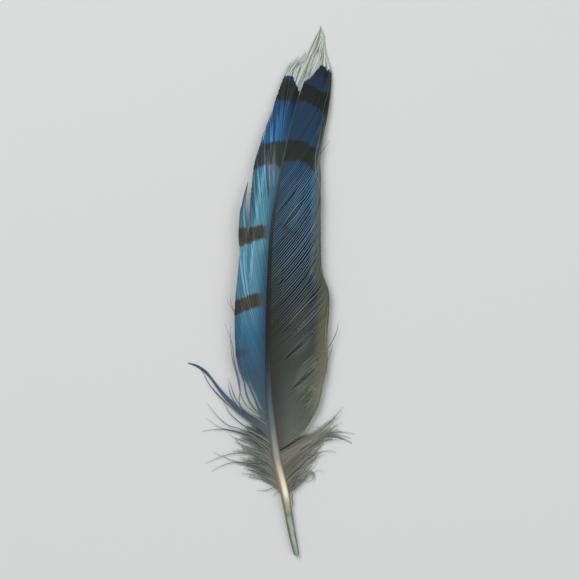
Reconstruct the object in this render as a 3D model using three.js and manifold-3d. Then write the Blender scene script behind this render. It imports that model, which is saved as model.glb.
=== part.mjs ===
// An outer tail feather of a blue jay, shed and lying with its coloured side up.
//
// It grew as one piece: a hollow quill that runs on into a solid shaft, a
// narrow outer vane on the left, a wide inner vane on the right, and loose
// downy locks at the foot of both. The whole feather is one closed solid.
//
// Millimetres, +Z up. While it is built, "along" is the distance from the
// quill's end towards the tip (+Y), and "across" is measured to the right
// (+X). At the end the solid is centred over the origin, resting on z = 0.

import * as THREE from 'three';
import Module from 'manifold-3d';

// ---- driving dimensions ----------------------------------------------------

const FEATHER_LENGTH = 120;
const QUILL_REST = 8; // length of the quill that lies on the surface
const ARCH_RISE = 3.2; // how far the middle of the shaft stands off the surface
const ARCH_EASE = 1.3; // over 1, so that the arch leaves the surface gently at both ends
const SHAFT_DEPTH = 0.9; // depth of the shaft over its width
const VANE_SEAT = 0.65; // height at which the vanes leave the shaft, over its depth
const VANE_THICK_AT_SHAFT = 0.5;
const VANE_THICK_AT_EDGE = 0.28;
const OUTER_VANE_WIDTH = 8.5;
const INNER_VANE_WIDTH = 14;
const VANE_CAMBER = 0.5; // share of its height that a vane has lost at its edge
const CAMBER_EASE = 1.6; // over 1, so that a vane leaves the shaft level and then curls down
const LOCK_THICK = 0.45;
const LOCK_TIP_WIDTH = 0.25;
const LOCK_FALL_EASE = 1.5; // over 1, so that a lock falls near its root and then lies flat
const SPLIT_END_WIDTH = 0.02;
const SPLIT_CUT_DEPTH = 12; // taller than the feather, so that a split goes through

const STATION_STEP = 1.75; // along the feather, for the shaft and the vanes
const POINTS_ACROSS_VANES = 9;
const STEPS_ALONG_LOCK = 7;

// Where the shaft lies across the feather, and how wide it is there.
const SHAFT_LINE = [
  [0, 1.6], [5, 0.5], [12.8, -0.9], [22, -2.9], [35.5, -4.6], [47, -5.0], [60.5, -4.8],
  [74, -4.1], [88, -1.9], [97, 0.0], [105.5, 2.3], [112, 4.5], [120, 6.95],
];
const SHAFT_WIDTH = [
  [0, 1.25], [4, 1.6], [8, 1.8], [17, 2.15], [27, 1.85], [36, 1.6], [47, 1.25],
  [60, 1.0], [75, 0.75], [88, 0.5], [100, 0.38], [120, 0.25],
];

// The two edges of the closed vanes, from the lowest barbs to the white tip.
const OUTER_EDGE = [
  [25, -3.9], [27, -5.4], [30, -7.3], [35.5, -9.5], [39, -10.9], [43, -12.0], [50, -12.5],
  [57, -12.5], [66, -11.7], [70.2, -11.3], [71.6, -9.4], [76, -9.2], [82, -8.7], [86, -8.3],
  [90, -7.9], [94, -6.6], [97, -5.7], [101, -4.1], [105, -2.7], [108, -1.8], [109.4, -1.1],
  [111, -0.3], [112, 0.6], [113, 2.4], [114, 4.2], [115.3, 4.9], [118.6, 6.2], [120, 6.8],
];
const INNER_EDGE = [
  [25, -1.2], [26, 0.4], [28.3, 2.7], [30, 4.5], [32, 5.9], [35.5, 7.0], [39, 7.5],
  [43, 8.4], [50, 8.4], [57, 8.9], [61, 8.7], [63, 7.7], [66, 7.0], [86, 6.9],
  [90, 6.8], [94, 7.3], [101, 8.6], [105, 9.1], [108, 9.3], [111.5, 9.3],
  [112.7, 8.8], [114.5, 8.1], [118.3, 7.9], [119.3, 7.7], [120, 7.1],
];

// Splits where neighbouring barbs have come unhooked: foot, head, width.
const SPLITS = [
  // inner vane
  [[-3.2, 76.6], [1.7, 82.8], 0.3],
  [[-1.5, 74.7], [3.4, 80.5], 0.5],
  [[-2.5, 50.5], [5.5, 57.6], 0.3],
  [[-0.6, 51.2], [6.4, 57.3], 0.3],
  [[-1.4, 44.6], [6.1, 51.2], 0.35],
  [[0.7, 37.4], [6.6, 43.5], 0.7],
  [[3.2, 36.2], [6.4, 39.3], 0.4],
  [[4.5, 62.3], [6.0, 65.8], 0.35],
  // outer vane
  [[-5.9, 81.0], [-5.7, 97.3], 0.4],
  [[-3.9, 83.2], [-3.7, 92.8], 0.25],
  [[-7.5, 32.2], [-10.9, 39.5], 0.9],
  [[-5.3, 31.9], [-10.4, 40.0], 0.4],
  // white tip
  [[4.4, 108.4], [6.9, 115.2], 0.45],
];

// Loose locks. Each leaves the shaft at "root" and runs through the points of
// its path, [across, along], the last of which is its tip. "lift" is how high
// the tip hangs over the surface that the feather lies on.
const LOCKS = [
  // long loose barbs of the outer vane
  { root: 27, path: [[-10.6, 32.3], [-17.4, 38.6], [-20.1, 42.5], [-23.3, 43.9]], width: 1.9, lift: 0 },
  { root: 27, path: [[-10.4, 31.8], [-16.3, 37.0], [-19.5, 41.6]], width: 1.4, lift: 0.5 },
  { root: 27, path: [[-9.1, 32.7], [-11.9, 35.9], [-14.2, 39.5]], width: 1.2, lift: 1.2 },
  { root: 27, path: [[-9.3, 33.0], [-11.2, 38.5], [-13.2, 47.3], [-14.8, 53.3]], width: 0.9, lift: 1.6 },
  { root: 55, path: [[-10.0, 66], [-10.7, 72], [-10.45, 79], [-9.45, 85.1]], width: 1.1, lift: 1.3 },
  { root: 24, path: [[-9.8, 30.2], [-14.4, 33.3], [-15.7, 35.5]], width: 1.4, lift: 0.8 },
  { root: 22, path: [[-9.1, 27.6], [-15.1, 30.6], [-18.6, 34.4]], width: 1.5, lift: 0.5 },
  { root: 20, path: [[-9.4, 25.6], [-15.5, 28.3], [-18.6, 31.2]], width: 1.6, lift: 0.6 },
  { root: 19, path: [[-8.7, 26.5], [-14.8, 28.7], [-19.9, 28.5]], width: 1.8, lift: 0.2 },
  // down on the left
  { root: 17, path: [[-6.8, 22.7], [-12.5, 25.7], [-14.0, 27.6]], width: 2.6, lift: 0.6 },
  { root: 16.5, path: [[-7.9, 21.9], [-13.2, 23.3], [-18.9, 21.1]], width: 2.4, lift: 0.1 },
  { root: 16, path: [[-8.3, 21.8], [-13.2, 22.7], [-17.6, 23.7]], width: 2.2, lift: 0.5 },
  { root: 14.5, path: [[-4.5, 17.8], [-8.6, 20.8], [-13.6, 21.3], [-17.8, 19.5]], width: 2.0, lift: 0.2 },
  { root: 14, path: [[-3.4, 15.5], [-5.3, 15.3], [-7.6, 14.9]], width: 1.0, lift: 0.1 },
  { root: 13, path: [[-3.0, 14.4], [-4.0, 13.6]], width: 0.7, lift: 0.2 },
  // down on the right
  { root: 22.5, path: [[3.0, 26.7], [7.9, 29.6], [12.3, 35.2]], width: 1.4, lift: 0.8 },
  { root: 21, path: [[3.8, 26.0], [9.1, 28.6], [14.7, 30.1]], width: 1.6, lift: 0 },
  { root: 19.5, path: [[3.4, 24.8], [8.3, 27.8], [11.2, 27.4], [14.3, 25.4]], width: 1.8, lift: 0.2 },
  { root: 18, path: [[2.6, 22.4], [6.8, 24.2], [10.4, 23.7]], width: 2.3, lift: 0.5 },
  { root: 16, path: [[1.6, 19.8], [5.2, 21.6], [7.7, 20.8]], width: 2.6, lift: 0.4 },
  { root: 14.5, path: [[1.2, 17.2], [4.2, 19.0], [6.4, 18.5]], width: 2.2, lift: 0.2 },
  { root: 13, path: [[0.6, 14.9], [2.2, 16.2], [3.9, 16.5]], width: 1.6, lift: 0.2 },
  { root: 12, path: [[0.1, 13.9], [0.7, 12.9]], width: 0.7, lift: 0.2 },
  // stray barbs beside the white tip
  { root: 103, path: [[-0.8, 108.2], [0.1, 112.4]], width: 0.5, lift: 0.3 },
  { root: 104.5, path: [[0.9, 109.8], [1.8, 113.2]], width: 0.5, lift: 0.3 },
  { root: 106, path: [[2.9, 111.4], [3.6, 115.0]], width: 0.5, lift: 0.3 },
];

const FEATHER_COLOUR = 0x4d6f86;

// ---- smooth values along the feather ---------------------------------------

// A function of "along" that passes smoothly through the given stations.
function smooth(stations) {
  const slope = (i) => {
    const [before, after] = [stations[Math.max(i - 1, 0)], stations[Math.min(i + 1, stations.length - 1)]];
    return (after[1] - before[1]) / (after[0] - before[0]);
  };
  return (along) => {
    const last = stations.length - 1;
    const next = stations.findIndex(([at]) => at >= along);
    const i = THREE.MathUtils.clamp(next < 0 ? last : next, 1, last);
    const [[from, a], [to, b]] = [stations[i - 1], stations[i]];
    const gap = to - from;
    const t = THREE.MathUtils.clamp((along - from) / gap, 0, 1);
    const [rise, fall] = [slope(i - 1) * gap, slope(i) * gap];
    return a + t * (rise + t * (3 * (b - a) - 2 * rise - fall + t * (2 * (a - b) + rise + fall)));
  };
}

const shaftAcross = smooth(SHAFT_LINE);
const shaftWidth = smooth(SHAFT_WIDTH);
const outerEdge = smooth(OUTER_EDGE);
const innerEdge = smooth(INNER_EDGE);

// Height of the shaft's underside: flat under the quill, then one long arch.
function shaftUnderside(along) {
  const u = Math.max(along - QUILL_REST, 0) / (FEATHER_LENGTH - QUILL_REST);
  return ARCH_RISE * Math.sin(Math.PI * u) ** ARCH_EASE;
}

// How far out a point lies: 0 at the shaft and about 1 at a vane's edge.
function reachOut(along, across) {
  const out = across - shaftAcross(along);
  return Math.abs(out) / (out < 0 ? OUTER_VANE_WIDTH : INNER_VANE_WIDTH);
}

// Height of the middle of the vanes' thickness, falling away from the shaft.
function vaneHeight(along, across) {
  const seat = shaftUnderside(along) + VANE_SEAT * SHAFT_DEPTH * shaftWidth(along);
  return seat * (1 - VANE_CAMBER * reachOut(along, across) ** CAMBER_EASE);
}

// ---- closed meshes ----------------------------------------------------------

// A closed mesh through rings of points. Every ring lists its upper points
// from left to right and then its lower points from right to left.
function loft(rings) {
  const count = rings[0].length;
  const index = [];
  const quad = (a, b, c, d) => index.push(a, b, c, a, c, d);
  for (let i = 0; i < rings.length - 1; i++) {
    for (let j = 0; j < count; j++) {
      const [k, near, far] = [(j + 1) % count, i * count, (i + 1) * count];
      quad(near + j, near + k, far + k, far + j);
    }
  }
  const end = (rings.length - 1) * count;
  for (let j = 0; j < count / 2 - 1; j++) {
    quad(j, count - 1 - j, count - 2 - j, j + 1);
    quad(end + j, end + j + 1, end + count - 2 - j, end + count - 1 - j);
  }
  const geometry = new THREE.BufferGeometry();
  geometry.setAttribute('position', new THREE.Float32BufferAttribute(rings.flat(2), 3));
  geometry.setIndex(index);
  return geometry;
}

// A closed ribbon with a rectangular section that follows a curve.
function ribbon(curve, steps, widthAt, thick) {
  const rings = [];
  for (let i = 0; i <= steps; i++) {
    const p = curve.getPoint(i / steps);
    const ahead = curve.getTangent(i / steps);
    const side = new THREE.Vector3(ahead.y, -ahead.x, 0).setLength(widthAt(i / steps) / 2);
    const corner = (s, up) => [p.x + s * side.x, p.y + s * side.y, p.z + (up * thick) / 2];
    rings.push([corner(-1, 1), corner(1, 1), corner(1, -1), corner(-1, -1)]);
  }
  return loft(rings);
}

function stationsBetween(first, last) {
  const steps = Math.ceil((last - first) / STATION_STEP);
  return Array.from({ length: steps + 1 }, (_, i) => first + ((last - first) * i) / steps);
}

// ---- the feather's forms ----------------------------------------------------

// The quill and shaft: eight-sided, flat underneath, thinning to a hair.
function shaft() {
  const across = [-0.5, -0.25, 0.25, 0.5]; // of the width
  const upper = [0.65, 1, 1, 0.65]; // of the depth
  const lower = [0.3, 0, 0, 0.3];
  const rings = stationsBetween(0, FEATHER_LENGTH).map((along) => {
    const width = shaftWidth(along);
    const point = (i, height) => [
      shaftAcross(along) + across[i] * width,
      along,
      shaftUnderside(along) + height[i] * width * SHAFT_DEPTH,
    ];
    return [0, 1, 2, 3].map((i) => point(i, upper)).concat([3, 2, 1, 0].map((i) => point(i, lower)));
  });
  return loft(rings);
}

// Both vanes as one cambered sheet that passes through the shaft.
function vanes() {
  const first = OUTER_EDGE[0][0];
  const rings = stationsBetween(first, FEATHER_LENGTH).map((along) => {
    const [left, right] = [outerEdge(along), innerEdge(along)];
    const point = (i, side) => {
      const across = left + ((right - left) * i) / (POINTS_ACROSS_VANES - 1);
      const reach = Math.min(reachOut(along, across), 1);
      const thick = THREE.MathUtils.lerp(VANE_THICK_AT_SHAFT, VANE_THICK_AT_EDGE, reach);
      const lowest = Math.max(vaneHeight(along, across) - thick / 2, 0);
      return [across, along, side > 0 ? lowest + thick : lowest];
    };
    const order = Array.from({ length: POINTS_ACROSS_VANES }, (_, i) => i);
    return order.map((i) => point(i, 1)).concat(order.reverse().map((i) => point(i, -1)));
  });
  return loft(rings);
}

// The cut for a split: a tall lens that closes to a point at both ends.
function split([foot, head, width]) {
  const line = new THREE.LineCurve3(new THREE.Vector3(...foot, 0), new THREE.Vector3(...head, 0));
  const widthAt = (u) => Math.max(width * Math.sin(Math.PI * u), SPLIT_END_WIDTH);
  return ribbon(line, STEPS_ALONG_LOCK, widthAt, SPLIT_CUT_DEPTH);
}

// A loose lock of barbs, rooted inside the shaft and lying down to its tip.
function lock({ root, path, width, lift }) {
  const start = [shaftAcross(root), root];
  const fall = vaneHeight(root, start[0]) - lift - LOCK_THICK / 2;
  const points = [start, ...path].map(([across, along], i) => {
    const rest = 1 - i / path.length;
    return new THREE.Vector3(across, along, lift + LOCK_THICK / 2 + fall * rest ** LOCK_FALL_EASE);
  });
  const curve = new THREE.CatmullRomCurve3(points);
  const widthAt = (u) => THREE.MathUtils.lerp(width, LOCK_TIP_WIDTH, u ** 2);
  return ribbon(curve, STEPS_ALONG_LOCK, widthAt, LOCK_THICK);
}

// ---- joining into one solid -------------------------------------------------

const wasm = await Module();
wasm.setup();

function toSolid(geometry) {
  const vertProperties = geometry.attributes.position.array;
  const triVerts = new Uint32Array(geometry.index.array);
  return new wasm.Manifold(new wasm.Mesh({ numProp: 3, vertProperties, triVerts }));
}

function toGeometry(solid) {
  const { vertProperties, triVerts } = solid.getMesh();
  const geometry = new THREE.BufferGeometry();
  geometry.setAttribute('position', new THREE.BufferAttribute(vertProperties, 3));
  geometry.setIndex(new THREE.BufferAttribute(triVerts, 1));
  return geometry;
}

function feather() {
  const splitVanes = SPLITS.reduce((solid, cut) => solid.subtract(toSolid(split(cut))), toSolid(vanes()));
  const body = splitVanes.add(toSolid(shaft()));
  const whole = LOCKS.reduce((solid, each) => solid.add(toSolid(lock(each))), body);
  const geometry = toGeometry(whole);
  geometry.computeBoundingBox();
  const { min, max } = geometry.boundingBox;
  geometry.translate(-(min.x + max.x) / 2, -(min.y + max.y) / 2, -min.z);
  geometry.computeVertexNormals();
  const horn = new THREE.MeshStandardMaterial({ color: FEATHER_COLOUR, roughness: 0.6, metalness: 0 });
  const mesh = new THREE.Mesh(geometry, horn);
  mesh.name = 'feather';
  return mesh;
}

const part = new THREE.Group();
part.add(feather());

export default part;
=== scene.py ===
"""The outer tail feather of a blue jay, lying with its coloured side up.

Millimetres are used while the feather is built: "across" to the right, "along" from the
quill's end towards the tip, and height over the surface that it lies on.
"""
import math

import bpy
import numpy as np
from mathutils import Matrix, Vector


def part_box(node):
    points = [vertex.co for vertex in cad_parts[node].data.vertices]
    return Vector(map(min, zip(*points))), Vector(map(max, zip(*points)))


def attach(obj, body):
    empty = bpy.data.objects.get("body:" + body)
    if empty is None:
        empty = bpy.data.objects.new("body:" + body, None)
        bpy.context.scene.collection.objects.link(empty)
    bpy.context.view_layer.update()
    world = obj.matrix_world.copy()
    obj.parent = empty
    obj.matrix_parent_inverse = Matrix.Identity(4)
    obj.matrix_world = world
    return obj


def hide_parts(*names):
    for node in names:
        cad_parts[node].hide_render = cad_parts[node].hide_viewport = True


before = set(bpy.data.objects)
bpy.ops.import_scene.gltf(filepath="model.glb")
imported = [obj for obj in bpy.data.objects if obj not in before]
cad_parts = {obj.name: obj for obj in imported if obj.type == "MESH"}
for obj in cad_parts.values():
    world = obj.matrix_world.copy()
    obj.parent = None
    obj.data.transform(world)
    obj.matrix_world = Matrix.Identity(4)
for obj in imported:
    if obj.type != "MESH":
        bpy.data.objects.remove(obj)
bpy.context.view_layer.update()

# ---- Quill and shaft ---------------------------------------------------------------------
# One horny keratin tube. At its foot, where it sat in the skin, it is hollow, clear and
# open at a slanting mouth; higher up it is filled with pith, grooved underneath and dark.
# It grew with the vanes on it, and it lies on the flat of the quill.

FEATHER_LENGTH = 120.0
LEFTMOST = -23.35  # the end of the longest loose barb
QUILL_REST = 8.0  # length of the quill that lies on the surface
ARCH_RISE = 3.2  # how far the middle of the shaft stands off the surface
ARCH_EASE = 1.3  # over 1, so that the arch leaves the surface gently at both ends
SHAFT_DEPTH = 0.9  # over its width
SHAFT_LINE = [
    (0, 1.6), (5, 0.5), (12.8, -0.9), (22, -2.9), (35.5, -4.6), (47, -5), (60.5, -4.8), (74, -4.1),
    (88, -1.9), (97, 0), (105.5, 2.3), (112, 4.5), (120, 6.95),
]
SHAFT_WIDTH = [
    (0, 1.25), (4, 1.6), (8, 1.8), (17, 2.15), (27, 1.85), (36, 1.6), (47, 1.25), (60, 1),
    (75, 0.75), (88, 0.5), (100, 0.34), (108, 0.22), (120, 0.09),
]
SHAFT_SIDES = 24
SHAFT_STEP = 0.6
SHAFT_FLAT = 0.85  # its underside is this deep, over a round one
SHAFT_CLEAR = 0.03  # keeps it from touching the surface
MOUTH_FRONT = 0.1  # where the slanting mouth reaches furthest, over the half width
MOUTH_LEFT = 0.35  # how far the mouth stands back at its left lip
MOUTH_RIGHT = 0.75
MOUTH_CURVE = 1.3
MOUTH_REACH = 6.0  # the rings of the quill slant less and less over this length
MOUTH_DEPTH = 2.6  # how far in the hollow can be seen
WALL = 0.78  # inner over outer radius
# The first rings (along, over the quill's radius) line the hollow and round its lip.
MOUTH_RINGS = [
    (MOUTH_DEPTH + 0.4, 0.12), (MOUTH_DEPTH + 0.2, 0.5), (MOUTH_DEPTH - 0.4, WALL), (0.9, WALL),
    (0.06, WALL), (0.0, (WALL + 1) / 2), (0.06, 0.985),
]
HOLLOW_RINGS = 5  # so many of them are inside
TIP_RINGS = [(FEATHER_LENGTH - 0.3, 0.6), (FEATHER_LENGTH - 0.1, 0.2)]
GROOVE_STARTS = (24.0, 32.0)  # the groove underneath starts where the vanes do
GROOVE_ENDS = (90, 112)
GROOVE_DEEP = 0.3  # over the shaft's depth
GROOVE_NARROW = 6  # more makes it narrower
SHAFT_LAYOUT = 0.9  # share of the flat layout; beside it, each end has a round spot
END_PLACES = np.array([(0.95, 0.2), (0.95, 0.7)])
END_SPOT = 0.03
SHARP_ANGLE = 55  # degrees between faces that meet in an edge
QUILL_HALF = 1.05  # half width of the quill
QUILL_TURNS = (14.0, 10.0)  # between these, the pithy shaft turns into the clear quill
# Fibres run along the shaft, about 0.05 mm apart. They are drawn wider so that they show.
FIBRE_DRAWN = 0.15
FIBRE_LONG = 4.0
CAPS_PER_MM = 0.45  # the growth caps are 2 to 3 mm apart


def smooth(stations):
    """A curve that passes smoothly through (place, value) stations."""
    at, value = np.array(stations, float).T
    slope = np.gradient(value, at, edge_order=1)
    slope[1:-1] = (value[2:] - value[:-2]) / (at[2:] - at[:-2])

    def curve(place):
        place = np.clip(place, at[0], at[-1])
        i = np.clip(np.searchsorted(at, place), 1, len(at) - 1)
        gap = at[i] - at[i - 1]
        t = (place - at[i - 1]) / gap
        a, b = value[i - 1], value[i]
        rise, fall = slope[i - 1] * gap, slope[i] * gap
        bend = 3 * (b - a) - 2 * rise - fall + t * (2 * (a - b) + rise + fall)
        return a + t * (rise + t * bend)

    return curve


def ease(value, start, end):
    """0 up to start, 1 from end, and a soft step between them."""
    t = np.clip((value - start) / (end - start), 0, 1)
    return t * t * (3 - 2 * t)


shaft_across = smooth(SHAFT_LINE)
shaft_width = smooth(SHAFT_WIDTH)
# Painted highlight: the pale middle of the quill's colour is moved a little to the right, by this
# share of the half width.
highlight_shift = smooth([(0, 0.08), (6, 0.12), (10, 0), (13, 0.2), (18, 0.25), (23, 0), (120, 0)])


def shaft_underside(along):
    u = np.clip((along - QUILL_REST) / (FEATHER_LENGTH - QUILL_REST), 0, 1)
    return ARCH_RISE * np.clip(np.sin(math.pi * u), 0, 1) ** ARCH_EASE


def new_piece(name, made, material):
    """A mesh from its points in mm, its faces, its flat layout and what is read at each point."""
    points, faces, corners, readings = made
    low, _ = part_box("feather")
    mesh = bpy.data.meshes.new(name)
    placed = (points - [LEFTMOST, 0, 0]) / 1000 + [low.x, low.y, 0]
    mesh.from_pydata(placed.tolist(), [], faces)
    mesh.shade_smooth()
    mesh.set_sharp_from_angle(angle=math.radians(SHARP_ANGLE))
    for title, values in readings.items():
        reading = mesh.attributes.new(title, "FLOAT", "POINT")
        reading.data.foreach_set("value", np.ravel(values).astype(np.float32))
    layout = mesh.uv_layers.new(name="OFBake")
    layout.data.foreach_set("uv", np.ravel(corners).astype(np.float32))
    mesh.materials.append(material)
    piece = bpy.data.objects.new(name, mesh)
    bpy.context.scene.collection.objects.link(piece)
    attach(piece, "root")
    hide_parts("feather")


def paint(code, share=1.0):
    """The linear colour of an sRGB hex value."""
    levels = [int(code[i:i + 2], 16) / 255 for i in (1, 3, 5)]
    return [v / 12.92 if v <= 0.04045 else ((v + 0.055) / 1.055) ** 2.4 for v in levels] + [share]


def new_material(name):
    material = bpy.data.materials.new(name)
    material.use_nodes = True
    material.node_tree.nodes.clear()
    return material, material.node_tree


def add(tree, kind, inputs, stops=(), **settings):
    """Adds a node with its inputs, its colour stops and its settings.

    An input is a fixed value, a node, a socket, or the name of what was read at each point of
    the mesh. "From" and "To" hold the two ends of a range. A stop is (mm from the quill's end,
    colour, share).
    """
    made = tree.nodes.new("ShaderNode" + kind)
    for title, value in settings.items():
        setattr(made, title, value)
    ends = {title + end: value for title in ("From", "To") if title in inputs
            for end, value in zip((" Min", " Max"), inputs[title])}
    single = {title: value for title, value in inputs.items() if title not in ("From", "To")}
    for title, value in {**single, **ends}.items():
        if isinstance(title, int):
            socket = made.inputs[title]
        else:
            socket = next(s for s in made.inputs if s.enabled and s.name == title)
        if isinstance(value, str):
            value = add(tree, "Attribute", {}, attribute_name=value).outputs["Fac"]
        elif isinstance(value, bpy.types.Node):
            value = next(s for s in value.outputs if s.enabled)
        if isinstance(value, bpy.types.NodeSocket):
            tree.links.new(value, socket)
        else:
            socket.default_value = value
    for i, (along, *colour) in enumerate(stops):
        marks = made.color_ramp.elements
        mark = marks[i] if i < 2 else marks.new(along / FEATHER_LENGTH)
        mark.position = along / FEATHER_LENGTH
        mark.color = paint(*colour)
    if len(stops) == 1:
        made.color_ramp.elements.remove(made.color_ramp.elements[1])
    return made


def coats(tree, blend, layers):
    """Coats of colour over each other: (share, stops where blend is 0, stops where it is 1).

    How much of the coats below a coat hides is its share times that of its second stops.
    """
    place = add(tree, "Math", {0: "along", 1: FEATHER_LENGTH}, operation="DIVIDE")
    laid = paint("#000000")  # the first coat hides it
    for share, *both in layers:
        first, second = (add(tree, "ValToRGB", {"Fac": place}, stops) for stops in both)
        coat = add(tree, "Mix", {"Factor": blend, "A": first, "B": second}, data_type="RGBA")
        cover = add(tree, "Math", {0: share, 1: second.outputs["Alpha"]}, operation="MULTIPLY")
        laid = add(tree, "Mix", {"Factor": cover, "A": laid, "B": coat}, data_type="RGBA")
    return laid


def ring_faces(tubes, rings, sides):
    """Faces of closed tubes: the quads between their rings, then both ends of each."""
    index = np.arange(tubes * rings * sides).reshape(tubes, rings, sides)
    near, far = index[:, :-1], index[:, 1:]
    following = np.roll(np.arange(sides), -1)
    quads = np.stack([near, near[..., following], far[..., following], far], axis=-1)
    ends = np.stack([index[:, 0, ::-1], index[:, -1]], axis=1)
    return quads.reshape(-1, 4).tolist() + ends.reshape(-1, sides).tolist()


def quad_corners(left, right, low, high):
    """Where the corners of each quad lie in the flat layout."""
    left, right, low, high = np.broadcast_arrays(left, right, low, high)
    return np.stack([left, low, right, low, right, high, left, high], axis=-1).reshape(-1, 2)


def shaft_mesh():
    """Rings round the shaft, with those of the mouth first."""
    turn = np.arange(SHAFT_SIDES) * 2 * math.pi / SHAFT_SIDES
    side, up = np.sin(turn), np.cos(turn)
    body = [(along, 1.0) for along in np.arange(0.4, FEATHER_LENGTH - 0.3, SHAFT_STEP)]
    rings = np.array(MOUTH_RINGS + body + TIP_RINGS)
    along, size = rings[:, :1], rings[:, 1:]
    back = np.where(side < MOUTH_FRONT, MOUTH_LEFT, MOUTH_RIGHT)
    slant = back * np.abs(side - MOUTH_FRONT) ** MOUTH_CURVE
    at = along + slant * np.clip(1 - along / MOUTH_REACH, 0, 1)
    width = shaft_width(along)
    groove = GROOVE_DEEP * ease(along, *GROOVE_STARTS) * (1 - ease(along, *GROOVE_ENDS))
    round_up = 0.5 + 0.5 * up * np.where(up < 0, SHAFT_FLAT, 1.0) * size
    height = round_up + groove * np.clip(-up, 0, 1) ** GROOVE_NARROW
    points = np.stack([
        shaft_across(at) + 0.5 * width * side * size,
        at,
        shaft_underside(along) + width * SHAFT_DEPTH * height + SHAFT_CLEAR,
    ], axis=-1)

    sides = np.arange(SHAFT_SIDES)
    strips = np.arange(len(rings) - 1)[:, None]
    spot = END_SPOT * np.stack([side, up], axis=-1)
    corners = np.concatenate([
        quad_corners(sides / SHAFT_SIDES * SHAFT_LAYOUT, (sides + 1) / SHAFT_SIDES * SHAFT_LAYOUT,
                     strips / len(rings), (strips + 1) / len(rings)),
        spot[::-1] + END_PLACES[0],
        spot + END_PLACES[1],
    ])
    readings = {
        "along": at,
        "side": side * size - highlight_shift(along),
        "top": np.tile(up, len(rings)),
        "inside": np.repeat(np.arange(len(rings)) < HOLLOW_RINGS, SHAFT_SIDES),
    }
    return points.reshape(-1, 3), ring_faces(1, len(rings), SHAFT_SIDES), corners, readings


def horny_keratin():
    """Keratin that dried hard: smooth and glossy, clear at the quill, with faint lengthwise
    fibres. Melanin darkens it from the foot of the vanes upwards."""
    material, tree = new_material("horny_keratin_of_the_shaft")
    outwards = add(tree, "Math", {0: "side"}, operation="ABSOLUTE")
    edge = add(tree, "MapRange", {"Value": outwards, "From": (0.3, 0.75)},
               interpolation_type="SMOOTHSTEP")
    # Along the quill the middle is paler than the rim: partly its own clear colour, and from 12 to
    # 20 mm a painted highlight in cream on its top. Further up, middle and rim are the shaft's own
    # colours.
    middle = [
        (0, "#a0a892"), (3, "#a6b3a8"), (7, "#a8b4aa"), (10, "#92957f"), (12, "#b9b498"),
        (14.5, "#fbf5dc"), (16.5, "#f4ead0"), (18, "#e0d5bb"), (22, "#a5a69c"), (30, "#617684"),
        (38, "#3d4d62"), (44, "#2a2c33"), (50, "#251b16"), (66, "#231d14"), (78, "#3a321f"),
        (88, "#4a4931"), (97, "#3c4a45"), (104.5, "#38474a"), (107, "#bac4ba"),
    ]
    rim = [
        (0, "#6d7568"), (7, "#707a6f"), (12, "#8f8a70"), (17, "#9a8c72"), (24, "#84796a"),
        (30, "#6a6352"), (38, "#474b42"), (48, "#33352d"), (62, "#2b2821"), (78, "#3d3320"),
        (90, "#4a472f"), (104.5, "#34484d"), (107, "#bac4ba"),
    ]
    horn = coats(tree, edge, [(1.0, middle, rim)])
    streak_at = add(tree, "CombineXYZ", {
        "X": add(tree, "Math", {0: "side", 1: QUILL_HALF / FIBRE_DRAWN}, operation="MULTIPLY"),
        "Y": add(tree, "Math", {0: "along", 1: FIBRE_LONG}, operation="DIVIDE"),
        "Z": "top",
    })
    streaks = add(tree, "TexNoise", {"Vector": streak_at, "Scale": 1.0, "Detail": 3.0})
    fibre = add(tree, "MapRange", {"Value": streaks, "From": (0.3, 0.7), "To": (0.85, 1.12)})
    # Pith shows through the quill as cross bands, its old growth caps.
    caps_at = add(tree, "CombineXYZ", {"Y": "along", "X": "side"})
    caps = add(tree, "TexNoise", {"Vector": caps_at, "Scale": CAPS_PER_MM, "Detail": 4.0})
    banded = add(tree, "MapRange", {"Value": caps, "From": (0.35, 0.65), "To": (0.76, 1.14)})
    quill = add(tree, "MapRange", {"Value": "along", "From": QUILL_TURNS})
    band = add(tree, "Mix", {"Factor": quill, "A": 1.0, "B": banded}, data_type="FLOAT")
    bright = add(tree, "Math", {0: band, 1: fibre}, operation="MULTIPLY")
    # Painted shade: inside the hollow mouth the colour is darkened to 0.35 of itself.
    depth = add(tree, "Mix", {"Factor": "inside", "A": bright, "B": 0.35}, data_type="FLOAT")
    shader = add(tree, "BsdfPrincipled", {
        "Base Color": add(tree, "HueSaturation", {"Color": horn, "Value": depth}),
        "Roughness": add(tree, "MapRange", {"Value": streaks, "To": (0.36, 0.5)}),
        "Normal": add(tree, "Bump", {"Height": streaks, "Strength": 0.25, "Distance": 0.0001}),
        "IOR": 1.54,
        "Specular IOR Level": 0.15,
    })
    add(tree, "OutputMaterial", {"Surface": shader})
    return material


new_piece("shaft", shaft_mesh(), horny_keratin())

# ---- Barbs, hooked together into a vane ---------------------------------------------------
# A vane is a row of barbs that leave the shaft side by side. Each barb is a keratin rib
# with a web of barbules on both sides, whose hooks hold it to the next barb's web.

VANE_SEAT = 0.65  # height at which the vanes leave the shaft, over its depth
OUTER_VANE_WIDTH = 8.5
INNER_VANE_WIDTH = 14.0
VANE_CAMBER = 0.5  # share of its height that a vane has lost at its edge
CAMBER_EASE = 1.6  # over 1, so that a vane leaves the shaft level and then curls down
CAMBER_END = 1.4  # over a vane's width; barbs that stand out further curl down no more
LOWEST = 0.12  # no barb's middle line comes nearer to the surface below
LOWEST_FACE = 0.02  # and no point of it
BARB_STEPS = 42
EDGE_STEP = 31  # from this step on, a barb runs along the vane's edge
EDGE_INSET = 0.11  # how far from the edge that starts, over its length
EDGE_SOFTENING = 5
EDGE_WEB = 0.19  # the least half width of a web there
TURN_WEB = 0.38  # the same where the barb turns into the edge
WEB_WHOLE = 1.12  # half width of a web, over what closes an unparted vane
WEB_STRETCH = 1.3  # the same at most, over what closes a parted one
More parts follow.
